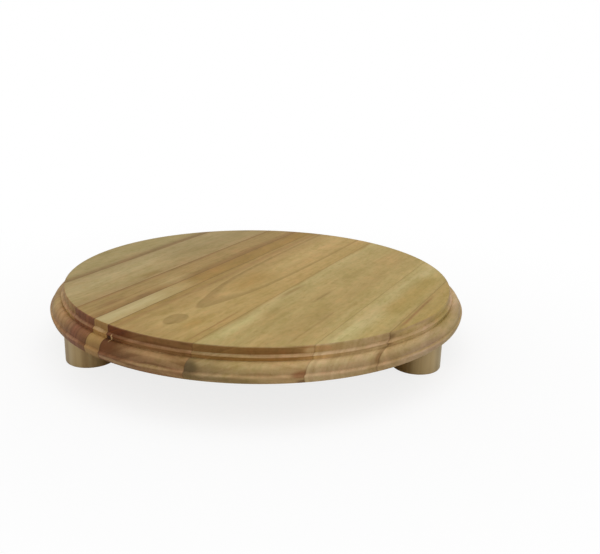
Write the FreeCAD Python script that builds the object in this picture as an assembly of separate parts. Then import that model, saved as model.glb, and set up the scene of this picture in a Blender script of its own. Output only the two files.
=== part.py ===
"""A round wooden rolling board (chakla) that stands on three turned feet.

Edge-glued staves of random width are turned as one disc with a moulded rim.
Each foot is a turned hardwood peg-foot, held to the underside by a glued dowel
that sits half in the board and half in the foot.

Millimetres, +Z up. The origin is on the ground below the centre of the board.
Angles are in degrees, counted from +X towards +Y.
"""
import FreeCAD
import Part
import math
import os

# ---- Overall sizes ---------------------------------------------------------
BOARD_DIAMETER = 250.0
BOARD_THICKNESS = 15.7
FOOT_HEIGHT = 20.2

# ---- Moulded rim, from the top face down -----------------------------------
TOP_EDGE_SETBACK = 8.0        # from the largest radius in to the upright wall
TOP_EDGE_CHAMFER = 0.6
TOP_WALL_HEIGHT = 3.7
LEDGE_WIDTH = 1.5             # narrow sloping ledge below the wall
LEDGE_DROP = 1.05
QUIRK_HEIGHT = 2.0            # upright dark groove under the ledge
QUIRK_DEPTH = 0.5
OVOLO_WIDTH = 5.55            # large convex moulding
OVOLO_HEIGHT = 4.65
OVOLO_BULGE = 1.65            # how far the arc stands proud of its chord
ARRIS_WIDTH = 1.1             # narrow slope between the ovolo and the lower band
ARRIS_HEIGHT = 0.65
LOWER_BAND_INSET = 0.75       # how far the lower band tucks under
LOWER_EDGE_CHAMFER = 0.5

# ---- Edge-glued staves, left edge first ------------------------------------
# The grain runs GRAIN_ANGLE from +X. The blank is ripped to the board's width,
# so the staves keep their own widths when these add up to the diameter, and
# share a change in the diameter in proportion.
GRAIN_ANGLE = 60.0
STAVE_WIDTHS = (37.5, 35.0, 20.0, 11.5, 50.0, 51.0, 25.25, 19.75)

# The narrow fourth stave is pieced from two lengths, butted end to end.
PIECED_STAVE = 4
BUTT_JOINT_FROM_CENTRE = 51.0  # towards the front, along the grain

# ---- Feet ------------------------------------------------------------------
FOOT_DIAMETER = 28.0
FOOT_EDGE_ROUND = 1.2
FOOT_TOP_EDGE_ROUND = 0.4

# The feet stand a third of a turn apart. They are placed by hand, so each has
# its own distance in from the board's largest radius.
FOOT_ANGLES = {"left": 207.6, "right": 327.7, "back": 87.6}
FOOT_EDGE_INSETS = {"left": 4.3, "right": 5.4, "back": 4.8}

# ---- Dowels that hold the feet ---------------------------------------------
DOWEL_DIAMETER = 8.0
DOWEL_LENGTH = 20.0
DOWEL_CHAMFER = 0.8
DOWEL_GLUE_CLEARANCE = 0.1    # all round, between dowel and socket
DOWEL_END_GAP = 0.5           # glue room past each end

# ---- Worked out from the sizes above ---------------------------------------
BOARD_RADIUS = BOARD_DIAMETER / 2
UNDERSIDE_Z = FOOT_HEIGHT
TOP_Z = UNDERSIDE_Z + BOARD_THICKNESS
FOOT_RADIUS = FOOT_DIAMETER / 2
SOCKET_DEPTH = DOWEL_LENGTH / 2 + DOWEL_END_GAP
SOCKET_RADIUS = DOWEL_DIAMETER / 2 + DOWEL_GLUE_CLEARANCE
UP = FreeCAD.Vector(0, 0, 1)


def vector(radius, z):
    """Return the point of an outline that lies in the XZ half plane."""
    return FreeCAD.Vector(radius, 0, z)


def line(start, end):
    """Return a straight edge between two outline points."""
    return Part.LineSegment(vector(*start), vector(*end)).toShape()


def bulged_arc(start, end, bulge):
    """Return an arc that stands proud of its chord by bulge, on its left."""
    run = end[0] - start[0]
    rise = end[1] - start[1]
    chord = math.hypot(run, rise)
    middle = (
        (start[0] + end[0]) / 2 - bulge * rise / chord,
        (start[1] + end[1]) / 2 + bulge * run / chord,
    )
    return Part.Arc(vector(*start), vector(*middle), vector(*end)).toShape()


def quarter_bulge(radius):
    """Return how far a quarter circle stands proud of its chord."""
    return radius * (1 - math.sqrt(0.5))


def revolve(edges):
    """Return the solid that a closed outline sweeps about the Z axis."""
    face = Part.Face(Part.Wire(edges))
    return face.revolve(FreeCAD.Vector(0, 0, 0), UP, 360)


def moulded_disc():
    """Return the whole board as one turned disc, before it is parted."""
    wall_radius = BOARD_RADIUS - TOP_EDGE_SETBACK
    wall_foot_z = TOP_Z - TOP_WALL_HEIGHT
    ledge_radius = wall_radius + LEDGE_WIDTH
    ledge_foot_z = wall_foot_z - LEDGE_DROP
    ovolo_foot_radius = BOARD_RADIUS - ARRIS_WIDTH
    ovolo_top_radius = ovolo_foot_radius - OVOLO_WIDTH
    quirk_radius = ledge_radius - QUIRK_DEPTH
    ovolo_top_z = ledge_foot_z - QUIRK_HEIGHT
    ovolo_foot_z = ovolo_top_z - OVOLO_HEIGHT
    band_foot_radius = BOARD_RADIUS - LOWER_BAND_INSET

    axis_top = (0, TOP_Z)
    top_edge = (wall_radius - TOP_EDGE_CHAMFER, TOP_Z)
    wall_head = (wall_radius, TOP_Z - TOP_EDGE_CHAMFER)
    wall_foot = (wall_radius, wall_foot_z)
    ledge_foot = (ledge_radius, ledge_foot_z)
    quirk_head = (quirk_radius, ledge_foot_z - QUIRK_DEPTH)
    quirk_foot = (quirk_radius, ovolo_top_z)
    ovolo_top = (ovolo_top_radius, ovolo_top_z)
    ovolo_foot = (ovolo_foot_radius, ovolo_foot_z)
    band_head = (BOARD_RADIUS, ovolo_foot_z - ARRIS_HEIGHT)
    band_foot = (band_foot_radius, UNDERSIDE_Z + LOWER_EDGE_CHAMFER)
    underside_edge = (band_foot_radius - LOWER_EDGE_CHAMFER, UNDERSIDE_Z)
    axis_foot = (0, UNDERSIDE_Z)

    outline = [
        line(axis_top, top_edge),
        line(top_edge, wall_head),
        line(wall_head, wall_foot),
        line(wall_foot, ledge_foot),
        line(ledge_foot, quirk_head),
        line(quirk_head, quirk_foot),
        line(quirk_foot, ovolo_top),
        bulged_arc(ovolo_top, ovolo_foot, OVOLO_BULGE),
        line(ovolo_foot, band_head),
        bulged_arc(band_head, band_foot, LOWER_BAND_INSET / 4),
        line(band_foot, underside_edge),
        line(underside_edge, axis_foot),
        line(axis_foot, axis_top),
    ]
    return revolve(outline)


def foot_centre(place, z):
    """Return the point at height z on the axis of the foot at this place."""
    radians = math.radians(FOOT_ANGLES[place])
    radius = BOARD_RADIUS - FOOT_EDGE_INSETS[place] - FOOT_RADIUS
    return FreeCAD.Vector(radius * math.cos(radians), radius * math.sin(radians), z)


def dowel_socket(place):
    """Return the drilled space for a dowel, in the board and in the foot."""
    start = foot_centre(place, UNDERSIDE_Z - SOCKET_DEPTH)
    return Part.makeCylinder(SOCKET_RADIUS, 2 * SOCKET_DEPTH, start, UP)


def turned_foot(place):
    """Return one foot: straight-sided, its edges rounded over, drilled."""
    ground_edge = (FOOT_RADIUS - FOOT_EDGE_ROUND, 0)
    side_foot = (FOOT_RADIUS, FOOT_EDGE_ROUND)
    side_head = (FOOT_RADIUS, FOOT_HEIGHT - FOOT_TOP_EDGE_ROUND)
    seat_edge = (FOOT_RADIUS - FOOT_TOP_EDGE_ROUND, FOOT_HEIGHT)
    outline = [
        line((0, 0), (0, FOOT_HEIGHT)),
        line((0, FOOT_HEIGHT), seat_edge),
        bulged_arc(seat_edge, side_head, quarter_bulge(FOOT_TOP_EDGE_ROUND)),
        line(side_head, side_foot),
        bulged_arc(side_foot, ground_edge, quarter_bulge(FOOT_EDGE_ROUND)),
        line(ground_edge, (0, 0)),
    ]
    foot = revolve(outline)
    foot.translate(foot_centre(place, 0))
    return foot.cut(dowel_socket(place))


def dowel(place):
    """Return one round dowel with chamfered ends, centred on the seat."""
    radius = DOWEL_DIAMETER / 2
    start = foot_centre(place, UNDERSIDE_Z - DOWEL_LENGTH / 2)
    peg = Part.makeCylinder(radius, DOWEL_LENGTH, start, UP)
    rims = [edge for edge in peg.Edges if edge.Closed]
    return peg.makeChamfer(DOWEL_CHAMFER, rims)


def grain_box(left, right, near, far):
    """Return a box through the board that is square to the grain.

    left and right are measured across the grain, near and far along it, all
    from the board's centre.
    """
    box = Part.makeBox(
        far - near,
        right - left,
        BOARD_THICKNESS,
        FreeCAD.Vector(near, -right, UNDERSIDE_Z),
    )
    box.rotate(FreeCAD.Vector(0, 0, 0), UP, GRAIN_ANGLE)
    return box


def stave_edges():
    """Return where the joints lie across the grain, from the left edge."""
    scale = BOARD_DIAMETER / sum(STAVE_WIDTHS)
    edges = [-BOARD_RADIUS]
    for width in STAVE_WIDTHS:
        edges.append(edges[-1] + width * scale)
    return edges


def board_staves():
    """Return each stave of the board by name, cut from the drilled disc."""
    disc = moulded_disc()
    for place in FOOT_ANGLES:
        disc = disc.cut(dowel_socket(place))
    edges = stave_edges()
    staves = {}
    for number, (left, right) in enumerate(zip(edges, edges[1:]), start=1):
        name = f"stave_{number:02d}"
        if number == PIECED_STAVE:
            butt = -BUTT_JOINT_FROM_CENTRE
            front = grain_box(left, right, -BOARD_DIAMETER, butt)
            back = grain_box(left, right, butt, BOARD_DIAMETER)
            staves[f"{name}_front"] = disc.common(front)
            staves[f"{name}_back"] = disc.common(back)
        else:
            whole = grain_box(left, right, -BOARD_DIAMETER, BOARD_DIAMETER)
            staves[name] = disc.common(whole)
    return staves


def single_solid(shape, name):
    """Return the one solid that a shape holds."""
    if len(shape.Solids) != 1:
        raise ValueError(f"{name} holds {len(shape.Solids)} solids, not one")
    return shape.Solids[0]


def main():
    """Build every piece and write one STEP file for each."""
    pieces = board_staves()
    for place in FOOT_ANGLES:
        pieces[f"foot_{place}"] = turned_foot(place)
        pieces[f"dowel_{place}"] = dowel(place)
    os.makedirs("parts", exist_ok=True)
    for name, shape in pieces.items():
        single_solid(shape, name).exportStep(f"parts/{name}.step")
        print(name, round(shape.Volume, 1))


main()
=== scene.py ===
"""The looks of a round wooden rolling board (chakla) that stands on three turned feet.

The board is glued up from staves of a pale, warm hardwood, turned as one disc with a moulded
rim, sanded fine and wiped with oil. Each stave has its own colour, figure and end grain, so each
has its own wood. Lengths are metres in the scene and millimetres where a name ends in _MM or _mm.
"""
import logging
import math
from dataclasses import dataclass
from enum import Enum

import bpy
from mathutils import Matrix, Vector


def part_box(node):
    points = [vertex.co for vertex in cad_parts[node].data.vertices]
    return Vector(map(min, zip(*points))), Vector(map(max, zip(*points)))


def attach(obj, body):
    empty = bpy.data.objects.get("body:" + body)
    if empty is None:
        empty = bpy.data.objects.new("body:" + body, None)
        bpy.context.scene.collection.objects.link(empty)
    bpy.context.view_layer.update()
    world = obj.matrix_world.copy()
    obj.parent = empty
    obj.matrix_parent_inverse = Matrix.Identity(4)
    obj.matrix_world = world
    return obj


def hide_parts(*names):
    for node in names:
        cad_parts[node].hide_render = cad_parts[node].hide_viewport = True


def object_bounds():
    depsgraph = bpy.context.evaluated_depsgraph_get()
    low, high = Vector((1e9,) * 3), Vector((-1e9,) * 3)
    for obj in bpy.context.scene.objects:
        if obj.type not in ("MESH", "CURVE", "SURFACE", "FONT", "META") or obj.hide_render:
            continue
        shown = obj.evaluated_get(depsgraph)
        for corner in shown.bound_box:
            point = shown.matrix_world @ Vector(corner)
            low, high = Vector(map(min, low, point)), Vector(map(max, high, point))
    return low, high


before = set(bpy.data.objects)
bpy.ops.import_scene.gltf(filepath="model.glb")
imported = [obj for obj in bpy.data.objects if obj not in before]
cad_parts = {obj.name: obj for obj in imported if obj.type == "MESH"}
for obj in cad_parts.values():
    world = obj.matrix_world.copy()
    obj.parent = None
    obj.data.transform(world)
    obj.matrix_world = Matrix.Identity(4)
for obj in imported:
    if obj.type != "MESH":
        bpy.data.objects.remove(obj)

CAD_BOX = [list(corner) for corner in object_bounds()]
LOG = logging.getLogger("rolling_board")
MM = 0.001
UNDERSIDE_Z, TOP_Z = (corner.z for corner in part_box("stave_05"))
TOP_MM = TOP_Z / MM

# The grain runs this far from +X towards +Y; it is the same in every stave.
GRAIN_ANGLE = math.radians(60)
ALONG = Vector((math.cos(GRAIN_ANGLE), math.sin(GRAIN_ANGLE), 0))
ACROSS = Vector((math.sin(GRAIN_ANGLE), -math.cos(GRAIN_ANGLE), 0))

Socket = bpy.types.NodeSocket
Triple = tuple[float, float, float]
Colour = tuple[float, float, float, float]
Stops = str | tuple[tuple[float, str | Colour], ...]
Outline = list[tuple[float, float]]

# Settings that many nodes share.
EASED = {"interpolation_type": "SMOOTHSTEP"}
BLEND = {"output": 2, "data_type": "RGBA"}
MULTIPLY = {**BLEND, "blend_type": "MULTIPLY"}
RING_NOISE = {"Scale": 1.0, "Detail": 3.0, "Roughness": 0.6}

# Shares of red, green and blue that parts of the wood keep. The blotch tints turn it a little
# rosier and paler here and greener and darker there, by the value of their noise. The side
# light and shade tints are painted shade, dark and red, on the side of a foot that faces in
# under the board, and painted light, pale and grey, on its side that faces out.
FIGURE_TINT = (0.80, 0.74, 0.62)
END_RING_TINT = (0.66, 0.56, 0.46)
HEARTWOOD_TINT = (0.75, 0.72, 0.62)
FIBRE_TINT = (0.84, 0.79, 0.70)
PORE_TINT = (0.70, 0.62, 0.50)
GLUE_TINT = (0.45, 0.36, 0.28)
BLOTCH_TINTS = (
    (0.30, (1.08, 1.03, 1.05, 1.0)), (0.50, (1.0, 1.0, 1.0, 1.0)), (0.70, (0.90, 0.90, 0.79, 1.0))
)
SIDE_LIGHT_AND_SHADE_TINTS = (
    (0.0, (0.44, 0.34, 0.19, 1.0)), (0.35, (0.90, 0.86, 0.78, 1.0)),
    (0.65, (1.0, 0.98, 0.94, 1.0)), (1.0, (0.98, 1.10, 1.40, 1.0)),
)
WOOD_ROUGHNESS = 0.62

# Patterns of the staves. A scale is repeats in a mm: across the grain, along it and up. Layers
# are how many finer ones a noise has and how much these show. A span is the values of a noise
# between which its pattern comes to show.
SWAY_SCALE = (1 / 30, 1 / 80, 1 / 30)
SWAY_LAYERS = (2.0, 0.5)
SWAY_MM = (5.0, 0.0, 5.0)
FACE_RING_SPAN = (0.40, 0.66)
END_RING_SPAN = (0.40, 0.60)
FIBRE_SCALE = (0.5, 0.028, 0.5)     # 2 mm wide and 35 mm long, with finer ones in them
FIBRE_LAYERS = (5.0, 0.62)
FIBRE_SPAN = (0.38, 0.68)
FIBRE_STRENGTH = 0.45
PORE_SCALE = (2.9, 0.16, 2.9)       # real pores are 0.2 mm wide, drawn 0.35 mm so they show
PORE_LAYERS = (1.0, 0.4)
PORE_SPAN = (0.60, 0.74)
PORE_STRENGTH = 0.45
GLUE_MM = 0.5                       # real glue lines are 0.1 mm wide, drawn 0.5 mm to show
# Each size of blotch: mm across the grain, mm along it, and its share of a stave's blotch.
BLOTCHES = ((11.0, 36.0, 1.15), (4.5, 13.0, 1.05), (1.9, 4.2, 1.05))
BLOTCH_LAYERS = (3.0, 0.55)

# Where end grain shows: the sine of the angle at which the surface cuts the grain, from none to
# all, and depths in mm below the top.
END_CUT = (0.03, 0.24)
WALL_CUT = (0.5, 0.85)
WALL_DEPTHS_MM = (7.1, 6.5)
HOLLOW_FOOT_MM = (8.6, 7.6)
HOLLOW_HEAD_MM = (3.4, 3.8)
PATCH_FRONT_MM = (0.0, -20.0)       # patches show on the front half of the rim only

# Shares of red, green and blue that paint light and shade onto the end grain, by depth in mm
# below the top: wall, ledge, quirk, ovolo, arris and lower band. They are painted highlights
# with a pale, bluish sheen on the ledge and the arris, painted light in the quirk's shade and
# on the ovolo's top, and painted shade low on the ovolo.
PAINTED_LIGHT_REACH_MM = 16.0
PAINTED_LIGHT_SHARES = (
    (3.4, (1.0, 1.0, 1.0)), (4.0, (1.32, 1.30, 1.50)), (4.6, (1.37, 1.35, 1.58)),
    (5.1, (1.42, 1.46, 1.52)), (6.5, (1.40, 1.44, 1.48)), (7.0, (1.36, 1.40, 1.50)),
    (8.2, (1.12, 1.17, 1.20)), (9.0, (0.98, 0.98, 0.98)), (10.8, (0.90, 0.88, 0.90)),
    (11.4, (1.22, 1.18, 1.34)), (12.1, (1.22, 1.20, 1.36)), (12.9, (1.0, 1.0, 1.05)),
)

# Patterns of the feet, as those of the staves are given, but in repeats in a metre along X, Y
# and Z. FOOT_SPAN runs from pale to dark wood. BASE_CUT is the cosine of the slope between which
# the base's end grain comes to show.
FOOT_FIBRE_SCALE = (500, 500, 22)   # 2 mm wide and 45 mm long
FOOT_FIBRE_LAYERS = (4.0, 0.6)
FOOT_FIBRE_SHARE = 0.25
FOOT_FIGURE_SCALE = (190, 110, 12)
FOOT_FIGURE_LAYERS = (2.0, 0.5)
FOOT_SPAN = (0.5, 0.85)
BASE_CUT = (0.3, 0.9)
BASE_RING_SCALE = (400, 400, 0)     # rings 2.5 mm apart
BASE_HEART_RINGS = 30               # the log's heart lies about this many rings off
BASE_RING_SPAN = (0.4, 0.62)
BASE_RING_STRENGTH = 0.6

# The dowels' sockets have room for glue all round and past each end.
GLUE_ROOM = 0.1 * MM
END_ROOM = 0.5 * MM

SMOOTH_BELOW = math.radians(35)
# How far a quarter circle of radius 1 stands off its chord.
QUARTER_BULGE = 1 - math.sqrt(0.5)


# ---- Small helpers ---------------------------------------------------------
def linear(hex_colour: str) -> Colour:
    """Turn an sRGB hex colour into a linear one, by the sRGB standard's curve.

    Args:
        hex_colour: Six hex digits.

    Returns:
        Linear red, green and blue, and an alpha of 1.
    """
    channels = [int(hex_colour[i:i + 2], 16) / 255 for i in (0, 2, 4)]
    red, green, blue = (
        c / 12.92 if c <= 0.04045 else ((c + 0.055) / 1.055) ** 2.4 for c in channels
    )
    return red, green, blue, 1.0


class Nodes:
    """A material's or world's nodes, and the patterns that the woods share."""

    def __init__(self, tree: bpy.types.NodeTree) -> None:
        """Empty the tree and keep it."""
        tree.nodes.clear()
        self.tree = tree

    def add(
        self, kind: str, inputs: tuple | dict = (), output: int | str = 0, **settings: object
    ) -> Socket:
        """Add one node, set it up and link it.

        Args:
            kind: The node's type name, less its ShaderNode.
            inputs: Its inputs in order, or by name or number. Each is a value or a socket.
            output: The name or number of the output that is wanted.
            settings: Attributes of the node and their values.

        Returns:
            That output.
        """
        node = self.tree.nodes.new(f"ShaderNode{kind}")
        for name, value in settings.items():
            setattr(node, name, value)
        for key, value in inputs.items() if isinstance(inputs, dict) else enumerate(inputs):
            if isinstance(value, Socket):
                self.tree.links.new(value, node.inputs[key])
            else:
                node.inputs[key].default_value = value
        return node.outputs[output] if len(node.outputs) else None

    def tinted(
        self, colour: Socket | Colour, pattern: Socket, tint: Triple, strength: float,
        span: tuple[float, float] = (0.0, 1.0),
    ) -> Socket:
        """Multiply a colour by a tint where a pattern is high.

        Args:
            colour: The colour so far.
            pattern: The pattern.
            tint: Shares of red, green and blue that are left.
            strength: How much of the tint is applied where it is full.
            span: The pattern's values where the tint starts and where it is full.

        Returns:
            The new colour.
        """
        share = self.add("MapRange", (pattern, *span, 0.0, strength))
        return self.add("Mix", {0: share, 6: colour, 7: (*tint, 1.0)}, **MULTIPLY)

    def toned(
        self, colour: Socket, share: Socket, stops: Stops, strength: float = 1.0,
        interpolation: str = "EASE",
    ) -> Socket:
        """Multiply a colour by a ramp of tints.

        Args:
            colour: The colour so far.
            share: Where on the ramp each point lies, 0 to 1.
            stops: The ramp's stops.
            strength: How much of the tints is applied.
            interpolation: How the tints change between stops.

        Returns:
            The new colour.
        """
        tint = set_stops(self.add("ValToRGB", (share,)), stops, interpolation)
        return self.add("Mix", {0: strength, 6: colour, 7: tint}, **MULTIPLY)

    def near(
        self, value: Socket, middle: float, outer: float, inner: float,
        strength: float | Socket,
    ) -> Socket:
        """Fade a strength as a value leaves a middle one.

        Args:
            value: The value.
            middle: The middle one.
            outer: The difference from which on the strength is 0.
            inner: The difference up to which it is full.
            strength: The full strength.

        Returns:
            The strength.
        """
        off = self.add("Math", (value, middle), operation="SUBTRACT")
        off = self.add("Math", (off,), operation="ABSOLUTE")
        return self.add("MapRange", (off, outer, inner, 0.0, strength), **EASED)

    def stretched_noise(
        self, place: Socket, scale: Triple, shift: Triple, layers: tuple[float, float],
        output: int | str = 0,
    ) -> Socket:
        """Draw noise at a real size.

        Args:
            place: Where a point lies.
            scale: Repeats in one unit of that place.
            shift: An offset, so that no two woods are alike.
            layers: How many finer layers the noise has and how much these show.
            output: The output that is wanted, by default one number about 0 to 1.

        Returns:
            That output.
        """
        place = self.add("Mapping", {"Vector": place, "Location": shift, "Scale": scale})
        detail, roughness = layers
        inputs = {"Vector": place, "Scale": 1.0, "Detail": detail, "Roughness": roughness}
        return self.add("TexNoise", inputs, output)

    def distance(self, place: Socket, scale: Triple, shift: Triple) -> Socket:
        """Return how far from 0 a place lies once it is scaled and then shifted."""
        place = self.add("Mapping", {"Vector": place, "Location": shift, "Scale": scale})
        return self.add("VectorMath", (place,), "Value", operation="LENGTH")

    def squareness(self, direction: Triple) -> Socket:
        """Measure how squarely the surface faces a direction or its opposite.

        Args:
            direction: The direction, of length 1.

        Returns:
            The cosine of the angle between them, 0 to 1.
        """
        normal = self.add("NewGeometry", output="Normal")
        cut = self.add("VectorMath", (normal, direction), "Value", operation="DOT_PRODUCT")
        return self.add("Math", (cut,), operation="ABSOLUTE")

    def dress_satin(self, colour: Socket, relief: Socket, roughness: float) -> None:
        """Add the shader of thinly oiled wood, with its fine relief.

        The oil soaks in and leaves no film, so the gloss is weaker than a varnish's.

        Args:
            colour: The wood's colour.
            relief: The height of the fibre and the pores, about 0 to 1.
            roughness: The roughness of the surface.
        """
        bump = self.add("Bump", {"Strength": 0.25, "Distance": 0.12 * MM, "Height": relief})
        shader = self.add("BsdfPrincipled", {
            "Base Color": colour, "Roughness": roughness, "IOR": 1.5,
            "Specular IOR Level": 0.18, "Normal": bump,
        })
        self.add("OutputMaterial", (shader,))


def new_material(name: str) -> tuple[bpy.types.Material, Nodes]:
    """Make a material.

    Args:
        name: Its name.

    Returns:
        The material and its empty node tree.
    """
    material = bpy.data.materials.new(name)
    material.use_nodes = True
    return material, Nodes(material.node_tree)


def set_stops(ramp: Socket, stops: Stops, interpolation: str = "EASE") -> Socket:
    """Give a colour ramp its stops.

    Args:
        ramp: The ramp's output.
        stops: Each stop's position and colour, or one colour for all. A colour is sRGB hex or
            linear.
        interpolation: How the colour changes between stops.

    Returns:
        The ramp's output.
    """
    if isinstance(stops, str):
        stops = ((0.0, stops), (1.0, stops))
    band = ramp.node.color_ramp
    while len(band.elements) < len(stops):
        band.elements.new(1.0)
    for element, (position, colour) in zip(band.elements, stops):
        element.position = position
        element.color = linear(colour) if isinstance(colour, str) else colour
    band.interpolation = interpolation
    return ramp


def node_span(node: str, direction: Vector) -> tuple[float, float]:
    """Return how far a CAD node reaches along a direction, from and to."""
    offs = [vertex.co.dot(direction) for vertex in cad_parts[node].data.vertices]
    return min(offs), max(offs)


def deselect_all() -> None:
    """Leave edit mode and deselect every object."""
    if bpy.context.object and bpy.context.object.mode != "OBJECT":
        bpy.ops.object.mode_set(mode="OBJECT")
    bpy.ops.object.select_all(action="DESELECT")


def select_only(piece: bpy.types.Object) -> None:
    """Select one object only, and make it the active one.

    Args:
        piece: The object.
    """
    deselect_all()
    piece.select_set(True)
    bpy.context.view_layer.objects.active = piece


def stand_in(piece: bpy.types.Object, node: str, material: bpy.types.Material) -> None:
    """Smooth and dress a finished piece, and let it stand for its node.

    Args:
        piece: The piece.
        node: The node that it replaces.
        material: Its material.
    """
    select_only(piece)
    bpy.ops.object.shade_smooth_by_angle(angle=SMOOTH_BELOW)
    piece.data.materials.clear()
    piece.data.materials.append(material)
    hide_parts(node)
    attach(piece, "root")
    LOG.info("%s: %d faces", piece.name, len(piece.data.polygons))


def arc(
    start: tuple[float, float], end: tuple[float, float], bulge: float, steps: int
) -> Outline:
    """Return points on an arc after its start, up to and with its end.

    Args:
        start: Radius and height of the first point.
        end: Radius and height of the last point.
        bulge: How far the arc stands off its chord, to the chord's right when positive.
        steps: Number of points.

    Returns:
        The points, in order.
    """
    run, rise = end[0] - start[0], end[1] - start[1]
    chord = math.hypot(run, rise)
    half_turn = 2 * math.atan2(2 * abs(bulge), chord)
    radius = chord / 2 / math.sin(half_turn)
    side = math.copysign(1, bulge)
    off_x, off_y = side * rise / chord, -side * run / chord
    middle = ((start[0] + end[0]) / 2, (start[1] + end[1]) / 2)
    sink = radius * math.cos(half_turn)
    points = []
    for step in range(1, steps + 1):
        turn = -half_turn + 2 * half_turn * step / steps
        along, out = radius * math.sin(turn), radius * math.cos(turn) - sink
        points.append((
            middle[0] + along * run / chord + out * off_x,
            middle[1] + along * rise / chord + out * off_y,
        ))
    return points


class Lathe:
    """Turns a closed round solid, ring by ring, from its lower face up."""

    def __init__(self, centre: Vector, radius: float, height: float, sides: int) -> None:
        """Start with the lower face.

        Args:
            centre: A point on the axis.
            radius: The lower face's radius.
            height: The lower face's height.
            sides: Number of points round each ring.
        """
        deselect_all()
        self.axis = Vector((centre.x, centre.y, height))
        bpy.ops.mesh.primitive_circle_add(
            vertices=sides, radius=radius, fill_type="NGON", location=self.axis
        )
        self.piece = bpy.context.object
        bpy.ops.object.transform_apply(location=True, rotation=True, scale=True)
        bpy.ops.object.mode_set(mode="EDIT")
        bpy.ops.mesh.select_all(action="SELECT")
        self.radius = radius

    def rings(self, points: Outline) -> None:
        """Extrude and resize the face, once for each ring.

        Args:
            points: Radius and height of each ring.
        """
        for radius, height in points:
            rise = height - self.axis.z
            bpy.ops.mesh.extrude_region_move(TRANSFORM_OT_translate={"value": (0, 0, rise)})
            self.axis.z = height
            size = radius / self.radius
            bpy.ops.transform.resize(value=(size, size, 1), center_override=self.axis)
            self.radius = radius

    def finish(self, name: str) -> bpy.types.Object:
        """Turn all faces outwards and name the piece.

        Args:
            name: The name.

        Returns:
            The piece.
        """
        bpy.ops.mesh.select_all(action="SELECT")
        bpy.ops.mesh.normals_make_consistent(inside=False)
        bpy.ops.object.mode_set(mode="OBJECT")
        self.piece.name = self.piece.data.name = name
        return self.piece


# ---- Woods -----------------------------------------------------------------
class Cut(Enum):
    """How a stave was sawn from the log: heart to the side and heart below its top, in mm."""

    FLAT = (10.0, 60.0)
    RIFT_LEFT = (-46.0, 40.0)
    RIFT_RIGHT = (52.0, 38.0)
    QUARTER = (95.0, 14.0)


@dataclass(frozen=True)
class Streak:
    """A band of other colour in the wood's face that runs with the grain.

    Its middle lies at_mm across the grain from the board's centre. It runs from start_mm to
    stop_mm along the grain and fades out over fade_mm at each end.
    """

    at_mm: float
    width_mm: float
    colour: str
    strength: float
    start_mm: float = -160.0
    stop_mm: float = 160.0
    fade_mm: float = 14.0


@dataclass(frozen=True)
class StainAndPaintedLight:
    """A soft round patch of other colour in the end grain at a stave's front end. Most are
    stains in the wood; some are patches of painted light, marked where they are listed.

    Its middle lies at_mm across the grain from the board's centre and depth_mm below the top.
    The colour is full out to this core share of its half width.
    """

    at_mm: float
    depth_mm: float
    width_mm: float
    height_mm: float
    colour: str
    strength: float
    core: float = 0.3


@dataclass(frozen=True)
class HeartLine:
    """Where a flat-sawn stave's log heart ran: above the face, rising and falling a little.

    So rings come out through the face as the arches and eyes of cathedral figure. The marked
    ring, ring_mm from the heart, has a dark edge and darker wood inside it, which pales again
    between a third of fade_mm and all of it further in. height_mm pairs places along the grain
    with the heart's height there.
    """

    side_mm: float
    ring_mm: float
    line_mm: float
    line_strength: float
    inside_strength: float
    fade_mm: float
    reach_mm: float
    lowest_mm: float
    highest_mm: float
    height_mm: tuple[tuple[float, float], ...]


@dataclass(frozen=True)
class StaveWood:
    """Rubberwood-like hardwood, sawn, sanded fine across the joints and wiped thinly with oil.

    Oil warms the colour and leaves a faint satin sheen. Open pores show as short fine dashes
    along the grain. End grain drinks more oil, so it is darker, redder and duller, and on the
    upright wall and quirk, which are hard to sand, it is darkest.
    """

    node: str
    left_mm: float
    right_mm: float
    face: Stops
    end: Stops
    wall: Stops
    cut: Cut
    seed: float
    ring_mm: float = 3.2
    figure: float = 0.25
    end_figure: float = 0.5
    blotch: float = 0.8
    glue_left: float = 0.4
    glue_right: float = 0.4
    streaks: tuple[Streak, ...] = ()
    stains_and_painted_light: tuple[StainAndPaintedLight, ...] = ()
    heart: HeartLine | None = None

    def build(self) -> bpy.types.Material:
        """Make the material.

        Returns:
            The material.
        """
        material, nodes = new_material(f"{self.node}-oiled_rubberwood")
        StaveGrain(self, nodes).dress()
        return material


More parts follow.
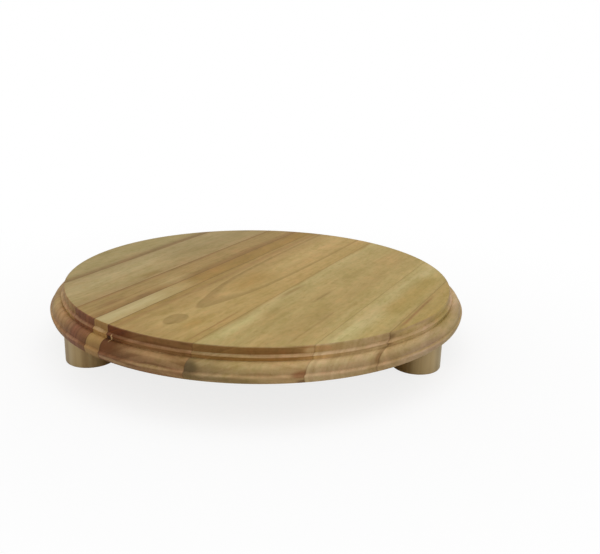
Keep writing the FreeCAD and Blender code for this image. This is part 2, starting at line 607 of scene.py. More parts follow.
class StaveGrain:
    """Works out one stave's colour and relief at each point, in its material's nodes."""

    def __init__(self, wood: StaveWood, nodes: Nodes) -> None:
        """Find the place in mm, straight and gently warped: X across the grain, Y along.

        Args:
            wood: The stave's wood.
            nodes: Its material's nodes.
        """
        self.wood, self.nodes = wood, nodes
        here = nodes.add("TexCoord", output="Object")
        self.straight = nodes.add("Mapping", {
            "Vector": here, "Rotation": (0, 0, math.pi / 2 - GRAIN_ANGLE),
            "Scale": (1 / MM, 1 / MM, 1 / MM),
        })
        drift = nodes.stretched_noise(
            self.straight, SWAY_SCALE, (wood.seed, wood.seed * 2, 0), SWAY_LAYERS, "Color"
        )
        centred = nodes.add("VectorMath", (drift, (0.5, 0.5, 0.5)), operation="SUBTRACT")
        sway = nodes.add("VectorMath", (centred, SWAY_MM), operation="MULTIPLY")
        self.warped = nodes.add("VectorMath", (self.straight, sway), operation="ADD")
        self.across, self.along, _ = nodes.add("SeparateXYZ", (self.warped,)).node.outputs
        parts = nodes.add("SeparateXYZ", (self.straight,)).node.outputs
        self.true_across, self.true_along, height = parts
        self.depth = nodes.add("Math", (TOP_MM, height), operation="SUBTRACT")
        self.cut = nodes.squareness(tuple(ALONG))

    def dress(self) -> None:
        """Join long grain and end grain, and lay blotches, fibre, pores and glue lines on."""
        wood, nodes = self.wood, self.nodes
        rings = self._rings(self._heart_distance())
        face, end = self._face(rings), self._end(rings)
        colour = nodes.add("Mix", {0: self._end_share(), 6: face, 7: end}, **BLEND)
        for across_mm, along_mm, share in BLOTCHES:
            scale = (1 / across_mm, 1 / along_mm, 1 / across_mm)
            shift = (wood.seed, wood.seed + across_mm, wood.seed)
            noise = nodes.stretched_noise(self.warped, scale, shift, BLOTCH_LAYERS)
            colour = nodes.toned(colour, noise, BLOTCH_TINTS, wood.blotch * share)
        fibre = nodes.stretched_noise(self.warped, FIBRE_SCALE, (0, wood.seed, 0), FIBRE_LAYERS)
        pores = nodes.stretched_noise(self.warped, PORE_SCALE, (wood.seed, 0, 0), PORE_LAYERS)
        pores = nodes.add("MapRange", (pores, *PORE_SPAN), **EASED)
        colour = nodes.tinted(colour, fibre, FIBRE_TINT, FIBRE_STRENGTH, FIBRE_SPAN)
        colour = nodes.tinted(colour, pores, PORE_TINT, PORE_STRENGTH)
        colour = nodes.tinted(colour, self._glue_lines(), GLUE_TINT, 1.0)
        relief = nodes.add("Math", (fibre, pores), operation="SUBTRACT")
        nodes.dress_satin(colour, relief, WOOD_ROUGHNESS)

    def _bands(self, across: Socket, stops: Stops) -> Socket:
        """Return soft bands of colour from the stave's left edge to its right one."""
        share = self.nodes.add("MapRange", (across, self.wood.left_mm, self.wood.right_mm))
        return set_stops(self.nodes.add("ValToRGB", (share,)), stops)

    def _rings(self, radius: Socket) -> Socket:
        """Draw growth rings of uneven width.

        Args:
            radius: The distance in mm from the log's heart.

        Returns:
            The rings, about 0 to 1.
        """
        even = (radius, 1 / self.wood.ring_mm, self.wood.seed)
        count = self.nodes.add("Math", even, operation="MULTIPLY_ADD")
        return self.nodes.add("TexNoise", {"W": count, **RING_NOISE}, noise_dimensions="1D")

    def _heart_distance(self) -> Socket:
        """Measure from the log's heart, where that ran straight.

        Returns:
            The distance in mm.
        """
        side_mm, below_mm = self.wood.cut.value
        side_mm += (self.wood.left_mm + self.wood.right_mm) / 2
        shift = (-side_mm, 0, below_mm - TOP_MM)
        return self.nodes.distance(self.warped, (1, 0, 1), shift)

    def _heart_line_distance(self, heart: HeartLine) -> Socket:
        """Measure from a heart that rises and falls along a drawn curve.

        Args:
            heart: The heart.

        Returns:
            The distance in mm.
        """
        nodes, reach_mm = self.nodes, heart.reach_mm
        span_mm = heart.highest_mm - heart.lowest_mm
        share = nodes.add("MapRange", (self.true_along, -reach_mm, reach_mm))
        drawn = nodes.add("FloatCurve", {"Value": share})
        curve = drawn.node.mapping.curves[0]
        while len(curve.points) < len(heart.height_mm):
            curve.points.new(1.0, 1.0)
        for point, (at, high) in zip(curve.points, heart.height_mm):
            point.location = (at + reach_mm) / (2 * reach_mm), (high - heart.lowest_mm) / span_mm
        drawn.node.mapping.update()
        height = nodes.add(
            "Math", (drawn, span_mm, heart.lowest_mm + TOP_MM), operation="MULTIPLY_ADD"
        )
        line = nodes.add("CombineXYZ", (heart.side_mm, self.true_along, height))
        return nodes.add("VectorMath", (self.straight, line), "Value", operation="DISTANCE")

    def _face(self, rings: Socket) -> Socket:
        """Colour the long grain: soft bands, streaks over them, then figure.

        Args:
            rings: The growth rings, where the log's heart was straight.

        Returns:
            The colour.
        """
        wood = self.wood
        colour = self._bands(self.across, wood.face)
        for streak in wood.streaks:
            colour = self._streaked(colour, streak)
        if wood.heart:
            radius = self._heart_line_distance(wood.heart)
            rings = self._rings(radius)
            colour = self._marked(colour, radius, wood.heart)
        return self.nodes.tinted(colour, rings, FIGURE_TINT, wood.figure, FACE_RING_SPAN)

    def _streaked(self, colour: Socket, streak: Streak) -> Socket:
        """Lay one streak over the long grain.

        Args:
            colour: The colour so far.
            streak: The streak.

        Returns:
            The new colour.
        """
        middle_mm = (streak.start_mm + streak.stop_mm) / 2
        half_mm = (streak.stop_mm - streak.start_mm) / 2
        band = self.nodes.near(
            self.across, streak.at_mm, streak.width_mm / 2, 0.0, streak.strength
        )
        band = self.nodes.near(self.along, middle_mm, half_mm, half_mm - streak.fade_mm, band)
        return self.nodes.add("Mix", {0: band, 6: colour, 7: linear(streak.colour)}, **BLEND)

    def _marked(self, colour: Socket, radius: Socket, heart: HeartLine) -> Socket:
        """Give the long grain the marked ring's dark edge and darker inside.

        Args:
            colour: The colour so far.
            radius: The distance from the heart.
            heart: The heart.

        Returns:
            The new colour.
        """
        nodes, ring_mm = self.nodes, heart.ring_mm
        inside = nodes.add(
            "MapRange", (radius, ring_mm - heart.line_mm, ring_mm, 1.0, 0.0), **EASED
        )
        pale = (ring_mm - heart.fade_mm, ring_mm - heart.fade_mm / 3)
        inside = nodes.add("MapRange", (radius, *pale, 0.0, inside), **EASED)
        edge = nodes.near(radius, ring_mm - heart.line_mm / 2, heart.line_mm, 0.0, 1.0)
        colour = nodes.tinted(colour, inside, HEARTWOOD_TINT, heart.inside_strength)
        return nodes.tinted(colour, edge, HEARTWOOD_TINT, heart.line_strength)

    def _end(self, rings: Socket) -> Socket:
        """Colour the end grain: soft bands, the wall's own, figure, painted light and shade by
        depth, and stains and patches of painted light.

        Args:
            rings: The growth rings.

        Returns:
            The colour.
        """
        wood, nodes = self.wood, self.nodes
        square = nodes.add("MapRange", (self.cut, *WALL_CUT), **EASED)
        upper = nodes.add("MapRange", (self.depth, *WALL_DEPTHS_MM, 0.0, square), **EASED)
        wall = self._bands(self.true_across, wood.wall)
        colour = self._bands(self.across, wood.end)
        colour = nodes.add("Mix", {0: upper, 6: colour, 7: wall}, **BLEND)
        colour = nodes.tinted(colour, rings, END_RING_TINT, wood.end_figure, END_RING_SPAN)
        # Painted light and shade by depth: painted highlights on the ledge and arris, painted light
        # in the quirk, painted shade low on the ovolo.
        share = nodes.add("MapRange", (self.depth, 0.0, PAINTED_LIGHT_REACH_MM))
        painted_light_tints = tuple(
            (depth_mm / PAINTED_LIGHT_REACH_MM, (*shares, 1.0)) for depth_mm, shares in PAINTED_LIGHT_SHARES
        )
        colour = nodes.toned(colour, share, painted_light_tints, interpolation="LINEAR")
        for patch in wood.stains_and_painted_light:
            colour = self._stained_and_lit(colour, patch)
        return colour

    def _stained_and_lit(self, colour: Socket, patch: StainAndPaintedLight) -> Socket:
        """Lay one stain, or one patch of painted light, over the end grain.

        Args:
            colour: The colour so far.
            patch: The stain or the patch of painted light.

        Returns:
            The new colour.
        """
        wide, tall = 2 / patch.width_mm, 2 / patch.height_mm
        shift = (-patch.at_mm * wide, 0, (patch.depth_mm - TOP_MM) * tall)
        off = self.nodes.distance(self.warped, (wide, 0, tall), shift)
        front = self.nodes.add("MapRange", (self.along, *PATCH_FRONT_MM, 0.0, patch.strength))
        share = self.nodes.add("MapRange", (off, 1.0, patch.core, 0.0, front), **EASED)
        return self.nodes.add("Mix", {0: share, 6: colour, 7: linear(patch.colour)}, **BLEND)

    def _end_share(self) -> Socket:
        """Work out how much the end grain's colour shows.

        The hollow between the quirk and the ovolo is too narrow for its level wood to show as
        long grain, so there the end grain follows the way round the rim and not the slope.

        Returns:
            0 for long grain, 1 for end grain.
        """
        nodes = self.nodes
        level = nodes.add("VectorMath", (self.straight, (1, 1, 0)), operation="MULTIPLY")
        outward = nodes.add("VectorMath", (level,), operation="NORMALIZE")
        outward = nodes.add("SeparateXYZ", (outward,), "Y")
        outward = nodes.add("Math", (outward,), operation="ABSOLUTE")
        hollow = nodes.add("MapRange", (self.depth, *HOLLOW_FOOT_MM, 0.0, outward), **EASED)
        hollow = nodes.add("MapRange", (self.depth, *HOLLOW_HEAD_MM, 0.0, hollow), **EASED)
        cut = nodes.add("Math", (self.cut, hollow), operation="MAXIMUM")
        return nodes.add("MapRange", (cut, *END_CUT), **EASED)

    def _glue_lines(self) -> Socket:
        """Draw the thin dark glue line at each edge.

        Returns:
            How dark the glue is, 0 off the lines.
        """
        wood, nodes, across = self.wood, self.nodes, self.true_across
        left = (across, wood.left_mm, wood.left_mm + GLUE_MM, wood.glue_left, 0.0)
        right = (across, wood.right_mm - GLUE_MM, wood.right_mm, 0.0, wood.glue_right)
        lines = [nodes.add("MapRange", line, **EASED) for line in (left, right)]
        return nodes.add("Math", tuple(lines), operation="MAXIMUM")


# ---- The board -------------------------------------------------------------
@dataclass
class MouldedBoard:
    """The glued-up blank, turned with a moulded rim, drilled, and parted at its joints."""

    radius: float
    staves: tuple[StaveWood, ...]
    sockets: tuple[Vector, ...]
    socket_radius: float
    socket_depth: float
    edge_setback: float = 8.0 * MM
    edge_round: float = 0.8 * MM
    wall_height: float = 3.7 * MM
    ledge_width: float = 1.5 * MM
    ledge_drop: float = 1.05 * MM
    ledge_bulge: float = 0.1 * MM
    quirk_height: float = 2.0 * MM
    quirk_depth: float = 0.5 * MM
    quirk_head_bulge: float = 0.08 * MM
    quirk_foot_rise: float = 0.15 * MM
    quirk_foot_bulge: float = -0.12 * MM
    ovolo_width: float = 5.55 * MM
    ovolo_height: float = 4.65 * MM
    ovolo_bulge: float = 1.65 * MM
    arris_width: float = 1.1 * MM
    arris_height: float = 0.65 * MM
    arris_bulge: float = 0.1 * MM
    band_inset: float = 0.75 * MM
    band_bulge: float = 0.1875 * MM
    lower_round: float = 0.6 * MM
    flat_margin: float = 1.2 * MM
    rim_margin: float = 1.0 * MM
    sides: int = 384
    socket_sides: int = 48
    round_steps: int = 5
    band_steps: int = 10
    arris_steps: int = 4
    ovolo_steps: int = 18
    quirk_steps: int = 3
    ledge_steps: int = 5

    def outline(self) -> Outline:
        """Work out the board's profile.

        Returns:
            Radius and height of each ring, from the underside's edge to the top's.
        """
        wall_foot = (self.radius - self.edge_setback, TOP_Z - self.wall_height)
        wall_head = (wall_foot[0], TOP_Z - self.edge_round)
        top_edge = (wall_foot[0] - self.edge_round, TOP_Z)
        ledge_foot = (wall_foot[0] + self.ledge_width, wall_foot[1] - self.ledge_drop)
        quirk_head = (ledge_foot[0] - self.quirk_depth, ledge_foot[1] - self.quirk_depth)
        quirk_foot_z = ledge_foot[1] - self.quirk_height
        quirk_foot = (quirk_head[0], quirk_foot_z + self.quirk_foot_rise)
        arris_top = (self.radius - self.arris_width, quirk_foot_z - self.ovolo_height)
        ovolo_top = (arris_top[0] - self.ovolo_width, quirk_foot_z)
        band_head = (self.radius, arris_top[1] - self.arris_height)
        band_foot = (self.radius - self.band_inset, UNDERSIDE_Z + self.lower_round)
        points = [(band_foot[0] - self.lower_round, UNDERSIDE_Z)]
        lower_bulge, edge_bulge = self.lower_round * QUARTER_BULGE, self.edge_round * QUARTER_BULGE
        under_edge = (band_foot[0] - self.lower_round, UNDERSIDE_Z)
        return [
            under_edge,
            *arc(under_edge, band_foot, lower_bulge, self.round_steps),
            *arc(band_foot, band_head, self.band_bulge, self.band_steps),
            *arc(band_head, arris_top, self.arris_bulge, self.arris_steps),
            *arc(arris_top, ovolo_top, self.ovolo_bulge, self.ovolo_steps),
            *arc(ovolo_top, quirk_foot, self.quirk_foot_bulge, self.quirk_steps),
            quirk_head,
            *arc(quirk_head, ledge_foot, self.quirk_head_bulge, self.quirk_steps),
            *arc(ledge_foot, wall_foot, self.ledge_bulge, self.ledge_steps),
            wall_head,
            *arc(wall_head, top_edge, edge_bulge, self.round_steps),
        ]

    def turn_blank(self) -> bpy.types.Object:
        """Turn the whole disc, with a flat margin inside each edge, and drill it.

        Returns:
            The disc.
        """
        outline = self.outline()
        inside = [radius - self.flat_margin for radius, _ in (outline[0], outline[-1])]
        lathe = Lathe(Vector(), inside[0], UNDERSIDE_Z, self.sides)
        lathe.rings([*outline, (inside[1], TOP_Z)])
        blank = lathe.finish("board_blank")
        for centre in self.sockets:
            self._drill(blank, centre)
        return blank

    def _drill(self, blank: bpy.types.Object, centre: Vector) -> None:
        """Drill one blind socket up into the underside.

        Args:
            blank: The turned disc.
            centre: A point on the socket's axis.
        """
        deselect_all()
        bpy.ops.mesh.primitive_cylinder_add(
            vertices=self.socket_sides, radius=self.socket_radius, depth=2 * self.socket_depth,
            location=(centre.x, centre.y, UNDERSIDE_Z),
        )
        drill = bpy.context.object
        select_only(blank)
        cut = blank.modifiers.new("socket", "BOOLEAN")
        cut.operation = "DIFFERENCE"
        cut.solver = "EXACT"
        cut.object = drill
        bpy.ops.object.modifier_apply(modifier=cut.name)
        bpy.data.objects.remove(drill)

    def part_stave(self, blank: bpy.types.Object, wood: StaveWood) -> bpy.types.Object:
        """Cut one stave out of a copy of the blank, with its own mesh.

        A joint that lies outside the rim isn't cut, and an end is cut only where the stave is
        butted to another.

        Args:
            blank: The turned and drilled disc.
            wood: The stave's wood, which says where its edges are.

        Returns:
            The stave, closed.
        """
        stave = blank.copy()
        stave.data = blank.data.copy()
        stave.name = stave.data.name = f"turned_{wood.node}"
        bpy.context.scene.collection.objects.link(stave)
        front, back = node_span(wood.node, ALONG)
        joints = [(ACROSS, wood.right_mm * MM), (-ACROSS, -wood.left_mm * MM)]
        cuts = [joint for joint in joints if joint[1] < self.radius - self.rim_margin]
        if wood.node.endswith("_front"):
            cuts.append((ALONG, back))
        if wood.node.endswith("_back"):
            cuts.append((-ALONG, -front))
        select_only(stave)
        bpy.ops.object.mode_set(mode="EDIT")
        for direction, reach in cuts:
            bpy.ops.mesh.select_all(action="SELECT")
            bpy.ops.mesh.bisect(
                plane_co=direction * reach, plane_no=direction,
                use_fill=True, clear_outer=True, threshold=1e-7,
            )
        bpy.ops.object.mode_set(mode="OBJECT")
        return stave

    def build(self) -> None:
        """Turn the blank, part it into staves, and dress and place each one."""
        blank = self.turn_blank()
        for wood in self.staves:
            stand_in(self.part_stave(blank, wood), wood.node, wood.build())
        bpy.data.objects.remove(blank)


# ---- Feet and dowels -------------------------------------------------------
@dataclass(frozen=True)
class TurnedWood:
    """Hardwood turned between centres and oiled, its grain upright in the foot.

    The side shows upright fibre; the foot's base is end grain, darker and dull. Painted shade
    darkens and reddens the side that faces in under the board, and painted light pales and
    greys the side that faces out. These sides are given by their X, and where both are alike
    there is none.
    """

    name: str
    pale: str
    dark: str
    base: str
    seed: float
    shaded_side_mm: float = 0.0
    lit_side_mm: float = 0.0
    roughness: float = WOOD_ROUGHNESS

    def build(self) -> bpy.types.Material:
        """Make the material.

        Returns:
            The material.
        """
        material, nodes = new_material(self.name)
        seed = self.seed
        here = nodes.add("TexCoord", output="Object")
        fibre = nodes.stretched_noise(here, FOOT_FIBRE_SCALE, (seed, seed, 0), FOOT_FIBRE_LAYERS)
        figure = nodes.stretched_noise(here, FOOT_FIGURE_SCALE, (seed, 0, seed), FOOT_FIGURE_LAYERS)
        both = nodes.add("Math", (fibre, FOOT_FIBRE_SHARE, figure), operation="MULTIPLY_ADD")
        stops = tuple(zip(FOOT_SPAN, (self.pale, self.dark)))
        colour = set_stops(nodes.add("ValToRGB", (both,)), stops)
        # Painted shade on the side that faces in under the board, painted light on the side facing
        # out.
        if self.shaded_side_mm != self.lit_side_mm:
            beside = nodes.add("SeparateXYZ", (here,), "X")
            share = nodes.add("MapRange", (beside, self.shaded_side_mm * MM, self.lit_side_mm * MM))
            colour = nodes.toned(colour, share, SIDE_LIGHT_AND_SHADE_TINTS)
        base_share = nodes.add("MapRange", (nodes.squareness((0, 0, 1)), *BASE_CUT), **EASED)
        off = nodes.distance(here, BASE_RING_SCALE, (seed, BASE_HEART_RINGS, 0))
        rings = nodes.add("TexNoise", {"W": off, **RING_NOISE}, noise_dimensions="1D")
        base = linear(self.base)
        base = nodes.tinted(base, rings, END_RING_TINT, BASE_RING_STRENGTH, BASE_RING_SPAN)
        colour = nodes.add("Mix", {0: base_share, 6: colour, 7: base}, **BLEND)
        nodes.dress_satin(colour, fibre, self.roughness)
        return material


@dataclass
class TurnedFoot:
    """One turned foot, drilled from its seat for the dowel."""

    node: str
    wood: TurnedWood
    socket_radius: float
    socket_depth: float
    edge_round: float = 1.2 * MM
    seat_round: float = 0.4 * MM
    flat_margin: float = 1.0 * MM
    sides: int = 96
    edge_steps: int = 8
    seat_steps: int = 4

    def build(self) -> None:
        """Turn the foot where its node stands, and dress and place it."""
        low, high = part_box(self.node)
        radius = (high.x - low.x) / 2
        ground_edge = (radius - self.edge_round, low.z)
        side_foot = (radius, low.z + self.edge_round)
        side_head = (radius, high.z - self.seat_round)
        seat_edge = (radius - self.seat_round, high.z)
        lathe = Lathe((low + high) / 2, ground_edge[0] - self.flat_margin, low.z, self.sides)
        lathe.rings([
            ground_edge,
            *arc(ground_edge, side_foot, self.edge_round * QUARTER_BULGE, self.edge_steps),
            side_head,
            *arc(side_head, seat_edge, self.seat_round * QUARTER_BULGE, self.seat_steps),
            (seat_edge[0] - self.flat_margin, high.z),
            (self.socket_radius, high.z),
            (self.socket_radius, high.z - self.socket_depth),
        ])
        stand_in(lathe.finish(f"turned_{self.node}"), self.node, self.wood.build())


# ---- Studio ----------------------------------------------------------------
@dataclass
class Studio:
    """A pale floor, soft light from above and a white surround."""

    surround_strength: float = 0.85
    lamp_power: float = 3.0
    lamp_size: float = 1.1
    lamp_place: Triple = (0.15, 0.25, 1.2)
    floor_radius: float = 6.0
    floor_sides: int = 96
    floor_colour: Colour = (0.9, 0.9, 0.9, 1.0)
    floor_lift: float = 0.8
    floor_gap: float = 0.05 * MM
    floor_fade: tuple[float, float] = (0.14, 0.34)
    touching_gaps: float = 10.0

    # The camera, fitted to the ellipses of the rim and top edge.
    image_width_px: int = 600
    image_height_px: int = 554
    focal_px: float = 718.9
    aim_x_px: float = 259.76
    aim_y_px: float = 274.67
    distance: float = 450.1 * MM
    elevation: float = 0.2984
    roll: float = 0.0118
    sensor_mm: float = 36.0
    clip_start: float = 10.0 * MM

    def build(self) -> None:
        """Make the floor, the lights, the surround and the camera."""
        self._floor()
        self._surround()
        self._lamp()
        self._camera()
        bpy.context.scene.view_settings.view_transform = "Standard"

    def _floor(self) -> None:
        """Lay a wide white floor that keeps a soft shadow and fades into the surround.

        From below it is clear, so the underside of the board can be looked at, and right under
        a foot it is clear from above too, so the foot's base isn't black there.
        """
        deselect_all()
        bpy.ops.mesh.primitive_circle_add(
            vertices=self.floor_sides, radius=self.floor_radius, fill_type="NGON",
            location=(0, 0, -self.floor_gap),
        )
        floor = bpy.context.object
        floor.name = "studio_floor"
        material, nodes = new_material("matt_white_floor")
        matt = nodes.add("BsdfDiffuse", {"Color": self.floor_colour})
        here = nodes.add("TexCoord", output="Object")
        away = nodes.add("VectorMath", (here,), "Value", operation="LENGTH")
        plain = nodes.add("MapRange", (away, *self.floor_fade, self.floor_lift, 1.0), **EASED)
        seen = nodes.add("LightPath", output="Is Camera Ray")
        plain = nodes.add("Math", (plain, seen), operation="MULTIPLY")
        white = nodes.add("Emission", {"Strength": 1.0})
        both = nodes.add("MixShader", (plain, matt, white))
        below = nodes.add("NewGeometry", output="Backfacing")
        ray = nodes.add("LightPath", output="Ray Length")
        touching = (ray, self.touching_gaps * self.floor_gap)
        touching = nodes.add("Math", touching, operation="LESS_THAN")
        below = nodes.add("Math", (below, touching), operation="MAXIMUM")
        clear = nodes.add("BsdfTransparent")
        both = nodes.add("MixShader", (below, both, clear))
        nodes.add("OutputMaterial", (both,))
        floor.data.materials.append(material)

    def _surround(self) -> None:
        """Light the scene evenly, and show plain white to the camera."""
        world = bpy.data.worlds.new("white_surround")
        bpy.context.scene.world = world
        world.use_nodes = True
        nodes = Nodes(world.node_tree)
        seen = nodes.add("LightPath", output="Is Camera Ray")
        strength = nodes.add("MapRange", (seen, 0.0, 1.0, self.surround_strength, 1.0))
        white = nodes.add("Background", {"Color": (1.0, 1.0, 1.0, 1.0), "Strength": strength})
        nodes.add("OutputWorld", (white,))

    def _lamp(self) -> None:
        """Hang one large soft lamp above and a little behind the board."""
        data = bpy.data.lights.new("soft_box", "AREA")
        data.shape = "DISK"
        data.size = self.lamp_size
        data.energy = self.lamp_power
        lamp = bpy.data.objects.new("soft_box", data)
        lamp.location = self.lamp_place
        lamp.rotation_euler = (-lamp.location).to_track_quat("-Z", "Y").to_euler()
        bpy.context.scene.collection.objects.link(lamp)

    def _camera(self) -> None:
        """Place the camera where the photograph's view of the board puts it."""
        cos_e, sin_e = math.cos(self.elevation), math.sin(self.elevation)
        place = Vector((0, -self.distance * cos_e, self.distance * sin_e))
        forward = -place.normalized()
        right = Vector((1, 0, 0))
        up = right.cross(forward)
        yaw = math.atan((self.aim_x_px - self.image_width_px / 2) / self.focal_px)
        rise = -(self.aim_y_px - self.image_height_px / 2) / self.focal_px
        turned = forward * math.cos(yaw) - right * math.sin(yaw)
        right = right * math.cos(yaw) + forward * math.sin(yaw)
        pitch = math.atan(rise * math.cos(yaw))
        aimed = turned * math.cos(pitch) - up * math.sin(pitch)
        up = up * math.cos(pitch) + turned * math.sin(pitch)
        x_axis = right * math.cos(self.roll) + up * math.sin(self.roll)
        y_axis = -right * math.sin(self.roll) + up * math.cos(self.roll)
        data = bpy.data.cameras.new("photo_camera")
        data.sensor_fit = "HORIZONTAL"
        data.sensor_width = self.sensor_mm
        data.lens = self.focal_px / self.image_width_px * self.sensor_mm
        data.clip_start = self.clip_start
        camera = bpy.data.objects.new("photo_camera", data)
        turn = Matrix((x_axis, y_axis, -aimed)).transposed().to_4x4()
        lift = Vector((0, 0, TOP_Z))
        camera.matrix_world = Matrix.Translation(place + lift) @ turn
        bpy.context.scene.collection.objects.link(camera)
        bpy.context.scene.camera = camera


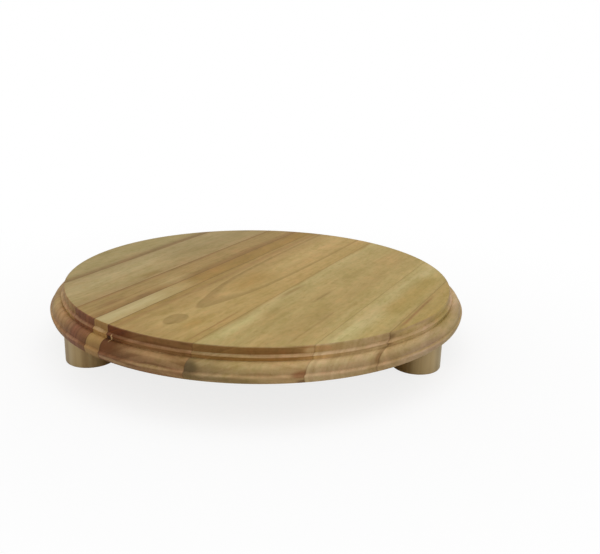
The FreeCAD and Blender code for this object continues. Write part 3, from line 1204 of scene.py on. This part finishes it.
# ---- The object's own woods ------------------------------------------------
def stave_woods() -> tuple[StaveWood, ...]:
    """Describe the wood of each stave.

    Returns:
        One wood for each stave, left edge first.
    """
    looks = {
        "stave_01": dict(
            face=((0.0, "9a8857"), (0.7, "a08f5e"), (1.0, "8e784a")),
            end=((0.0, "977b4f"), (1.0, "8f7349")),
            wall="8b6e44", cut=Cut.RIFT_RIGHT, seed=3.1,
            glue_right=0.2,
            streaks=(Streak(-89.5, 9.0, "7d6034", 0.55),),
        ),
        "stave_02": dict(
            face=((0.0, "a08c5e"), (0.35, "aa9869"), (0.7, "a5915f"), (1.0, "a08858")),
            end=((0.0, "9e8454"), (0.7, "967348"), (1.0, "83603c")),
            wall=((0.0, "957643"), (0.75, "957643"), (1.0, "866336")),
            cut=Cut.RIFT_LEFT, seed=7.7, glue_left=0.2, glue_right=0.2,
            streaks=(
                Streak(-56.0, 10.0, "93763c", 0.7, -50.0, -20.0),
                Streak(-51.0, 3.0, "72501f", 0.8, -82.0, -46.0, 20.0),
                Streak(-70.0, 40.0, "8f7a4a", 0.6, -24.0, 160.0, 40.0),
            ),
        ),
        "stave_03": dict(
            face=((0.0, "8d6e3c"), (0.25, "9f854f"), (0.6, "9f844e"), (1.0, "8f6e3a")),
            end=((0.0, "835f3f"), (0.4, "784d31"), (1.0, "7b5330")),
            wall="714524",
            cut=Cut.QUARTER, seed=12.9, figure=0.5, end_figure=0.7, ring_mm=2.6,
            glue_left=0.2, glue_right=0.8,
            streaks=(
                Streak(-42.0, 8.0, "775527", 0.6, -108.0, -70.0, 22.0),
                Streak(-36.0, 6.0, "80603a", 0.6, -84.0, -56.0, 16.0),
                Streak(-39.0, 20.0, "b09a66", 0.6, -58.0, -18.0, 20.0),
            ),
            stains_and_painted_light=(
                StainAndPaintedLight(-43.0, 4.4, 24.0, 1.8, "9c7c56", 0.5),
                StainAndPaintedLight(-46.0, 11.8, 24.0, 1.8, "a07c5a", 0.5),
            ),
        ),
        "stave_04_front": dict(
            face=((0.0, "b09c6b"), (0.5, "b7a675"), (1.0, "b19b67")),
            end=((0.0, "967542"), (1.0, "8e6d3d")),
            wall="8e6b39", cut=Cut.QUARTER, seed=18.3,
            figure=0.1, end_figure=0.15, blotch=0.4, glue_left=0.8, glue_right=0.9,
            streaks=(Streak(-26.5, 40.0, "a88f58", 0.8, -76.0, -20.0, 24.0),),
            stains_and_painted_light=(StainAndPaintedLight(-27.0, 4.4, 14.0, 1.8, "c4a67a", 0.6),),
        ),
        "stave_04_back": dict(
            face=((0.0, "97773a"), (1.0, "9b7c3c")),
            end="8b6a42",
            wall="917042", cut=Cut.RIFT_LEFT, seed=24.6,
            streaks=(Streak(-26.5, 40.0, "ac955f", 0.9, -80.0, -24.0, 26.0),),
        ),
        "stave_05": dict(
            face=((0.0, "9d8044"), (0.2, "ab8f56"), (0.5, "b4995f"), (0.8, "b3975b"),
                  (1.0, "ad9154")),
            end=((0.0, "775131"), (0.2, "795734"), (0.4, "856440"), (1.0, "93744c")),
            wall=((0.0, "643300"), (0.18, "643300"), (0.4, "765128"), (1.0, "7b572e")),
            cut=Cut.FLAT, seed=31.2, figure=0.3, end_figure=0.8, ring_mm=2.4, glue_left=0.9,
            streaks=(
                Streak(-16.0, 6.0, "9a7845", 0.6), Streak(24.6, 2.0, "96703a", 0.7, -120.0, -60.0),
                Streak(14.0, 16.0, "ab8944", 0.5, -106.0, -76.0),
                Streak(3.0, 30.0, "a4823a", 0.6, -50.0, 20.0, 30.0),
                Streak(4.0, 60.0, "94773f", 0.5, -135.0, -92.0, 24.0),
            ),
            stains_and_painted_light=(
                StainAndPaintedLight(-18.0, 8.0, 26.0, 11.0, "623812", 0.9),
                StainAndPaintedLight(-12.0, 13.8, 40.0, 3.0, "a38560", 0.6),
                # The next three are painted light: light painted into the quirk's shade, and
                # painted highlights along the ovolo's top and along the arris.
                StainAndPaintedLight(6.0, 5.9, 60.0, 2.4, "8c683f", 0.5),
                StainAndPaintedLight(11.0, 7.5, 38.0, 2.2, "ae8d5f", 0.6),
                StainAndPaintedLight(12.0, 11.8, 34.0, 1.9, "ae9366", 0.6),
                StainAndPaintedLight(-19.4, 5.8, 2.8, 3.0, "331c0c", 0.9),
                StainAndPaintedLight(-17.4, 5.6, 1.2, 3.4, "c0a070", 0.9, 0.6),
            ),
            heart=HeartLine(
                side_mm=2.6, ring_mm=30.0, line_mm=0.15, line_strength=0.25,
                inside_strength=1.0, fade_mm=1.8, reach_mm=120.0, lowest_mm=24.0,
                highest_mm=31.0,
                height_mm=((-120.0, 30.6), (-100.5, 30.0), (-97.0, 29.75), (-90.0, 29.5),
                           (-84.5, 29.7), (-82.5, 30.0), (-78.0, 30.25), (-72.5, 30.0),
                           (-66.0, 29.7), (-56.0, 29.25), (-44.0, 28.5), (-31.0, 27.6),
                           (-10.0, 26.6), (40.0, 25.4), (120.0, 25.0)),
            ),
        ),
        "stave_06": dict(
            face=((0.0, "a3884c"), (0.06, "b39f67"), (0.3, "ae985e"), (0.7, "ab9258"),
                  (1.0, "b09b60")),
            end=((0.0, "8d7649"), (0.2, "9a845a"), (0.45, "a48c5c"), (1.0, "ab9062")),
            wall=((0.0, "836032"), (0.5, "83602d"), (0.84, "825f2d"), (1.0, "9c7641")),
            cut=Cut.FLAT, seed=39.5, figure=0.35, end_figure=0.5,
            streaks=(
                Streak(36.0, 10.0, "bcae74", 0.8, -110.0, -55.0, 20.0),
                Streak(33.5, 5.0, "8f6f3a", 0.6, -38.0, 0.0),
                Streak(41.0, 9.0, "9a8246", 0.6, -70.0, -42.0, 12.0),
                Streak(52.5, 3.5, "8a6c38", 0.6, -34.0, 0.0),
                Streak(47.0, 14.0, "a08a4c", 0.5, -88.0, -40.0, 18.0),
                Streak(68.0, 2.5, "93763f", 0.6, -95.0, -36.0),
                Streak(67.0, 9.0, "9c834d", 0.5, -60.0, -36.0, 10.0),
                Streak(75.0, 6.0, "b8a26a", 0.5, -80.0, -20.0),
            ),
            stains_and_painted_light=(
                StainAndPaintedLight(30.0, 10.5, 14.0, 9.0, "5c4b30", 0.85),
                StainAndPaintedLight(31.0, 14.4, 22.0, 4.0, "6a5734", 0.7),
                StainAndPaintedLight(48.0, 14.3, 38.0, 4.6, "63502c", 0.5),
                StainAndPaintedLight(79.0, 10.6, 12.0, 4.6, "80522c", 0.8),
                StainAndPaintedLight(79.5, 14.2, 7.0, 4.0, "5f4324", 0.7),
                StainAndPaintedLight(78.5, 1.9, 7.0, 4.6, "b39766", 0.7),
                StainAndPaintedLight(62.0, 4.4, 30.0, 1.6, "86663e", 0.45),
            ),
        ),
        "stave_07": dict(
            face=((0.0, "b09c62"), (0.35, "bba974"), (0.7, "b09b5e"), (1.0, "aa945a")),
            end=((0.0, "b0986c"), (1.0, "aa9066")),
            wall=((0.0, "a68146"), (0.3, "a9864b"), (0.6, "b5965d"), (1.0, "b5965d")),
            cut=Cut.QUARTER, seed=46.4, figure=0.2, end_figure=0.35, glue_right=0.5,
            streaks=(
                Streak(87.5, 9.0, "c2b47c", 0.8, -92.0, -36.0, 20.0),
                Streak(95.0, 24.0, "a38a46", 0.8, -34.0, 60.0, 20.0),
            ),
            stains_and_painted_light=(
                StainAndPaintedLight(105.0, 9.5, 3.2, 7.0, "86643c", 0.8),
                StainAndPaintedLight(84.0, 1.9, 9.0, 3.4, "a77e52", 0.5),
                StainAndPaintedLight(94.0, 5.8, 30.0, 2.4, "8a6c42", 0.4),
            ),
        ),
        "stave_08": dict(
            face=((0.0, "a98f53"), (0.5, "ab9353"), (1.0, "a79064")),
            end=((0.0, "a78c60"), (1.0, "a68e6c")),
            wall=((0.0, "bd9f63"), (0.5, "a48a57"), (1.0, "9d8350")), cut=Cut.RIFT_LEFT, seed=53.8,
            figure=0.3, end_figure=0.3, glue_left=0.5,
            streaks=(Streak(106.6, 3.0, "8d6636", 0.8, -46.0, 20.0),),
            stains_and_painted_light=(
                StainAndPaintedLight(105.6, 2.2, 4.2, 4.5, "725430", 0.65),
                StainAndPaintedLight(105.6, 6.0, 4.0, 2.6, "70522e", 0.6),
                StainAndPaintedLight(111.5, 2.0, 9.0, 5.0, "bfa26c", 0.6),
            ),
        ),
    }
    woods = []
    for node, look in looks.items():
        left, right = node_span(node, ACROSS)
        woods.append(StaveWood(node, left / MM, right / MM, **look))
    return tuple(woods)


def foot_woods() -> dict[str, TurnedWood]:
    """Describe the wood of each foot.

    Returns:
        Each foot's node and its wood.
    """
    base = "8f7650"
    looks = {
        # Pale, dark, base and seed, then the X in mm of the painted shade on the inner side and of
        # the painted light on the outer side.
        "foot_left": ("ad966d", "987e58", base, 1.3, -82.0, -108.0),
        "foot_right": ("b19b72", "9d865c", base, 4.9, 79.5, 103.0),
        "foot_back": ("b2986a", "9c8056", base, 9.2, 18.0, -9.0),
    }
    return {node: TurnedWood(f"{node}-turned_rubberwood", *look) for node, look in looks.items()}


def main() -> None:
    """Build every piece, dress it and light the scene."""
    logging.basicConfig(level=logging.INFO, format="%(name)s: %(message)s")
    feet = foot_woods()
    low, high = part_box("dowel_left")
    socket = ((high.x - low.x) / 2 + GLUE_ROOM, (high.z - low.z) / 2 + END_ROOM)
    board_radius = (CAD_BOX[1][0] - CAD_BOX[0][0]) / 2
    centres = tuple(sum(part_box(node), Vector()) / 2 for node in feet)
    MouldedBoard(board_radius, stave_woods(), centres, *socket).build()
    for node, wood in feet.items():
        TurnedFoot(node, wood, *socket).build()

    # The dowels are hidden in the wood, so their CAD meshes stay and are only dressed.
    dowel_wood = TurnedWood(
        "dowel-bare_beech", "c2a478", "a98a5c", "a98a5c", 15.0, roughness=0.7
    ).build()
    for side in ("left", "right", "back"):
        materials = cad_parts[f"dowel_{side}"].data.materials
        materials.clear()
        materials.append(dowel_wood)
        LOG.info("dowel_%s dressed", side)

    Studio().build()


if __name__ == "__main__":
    main()
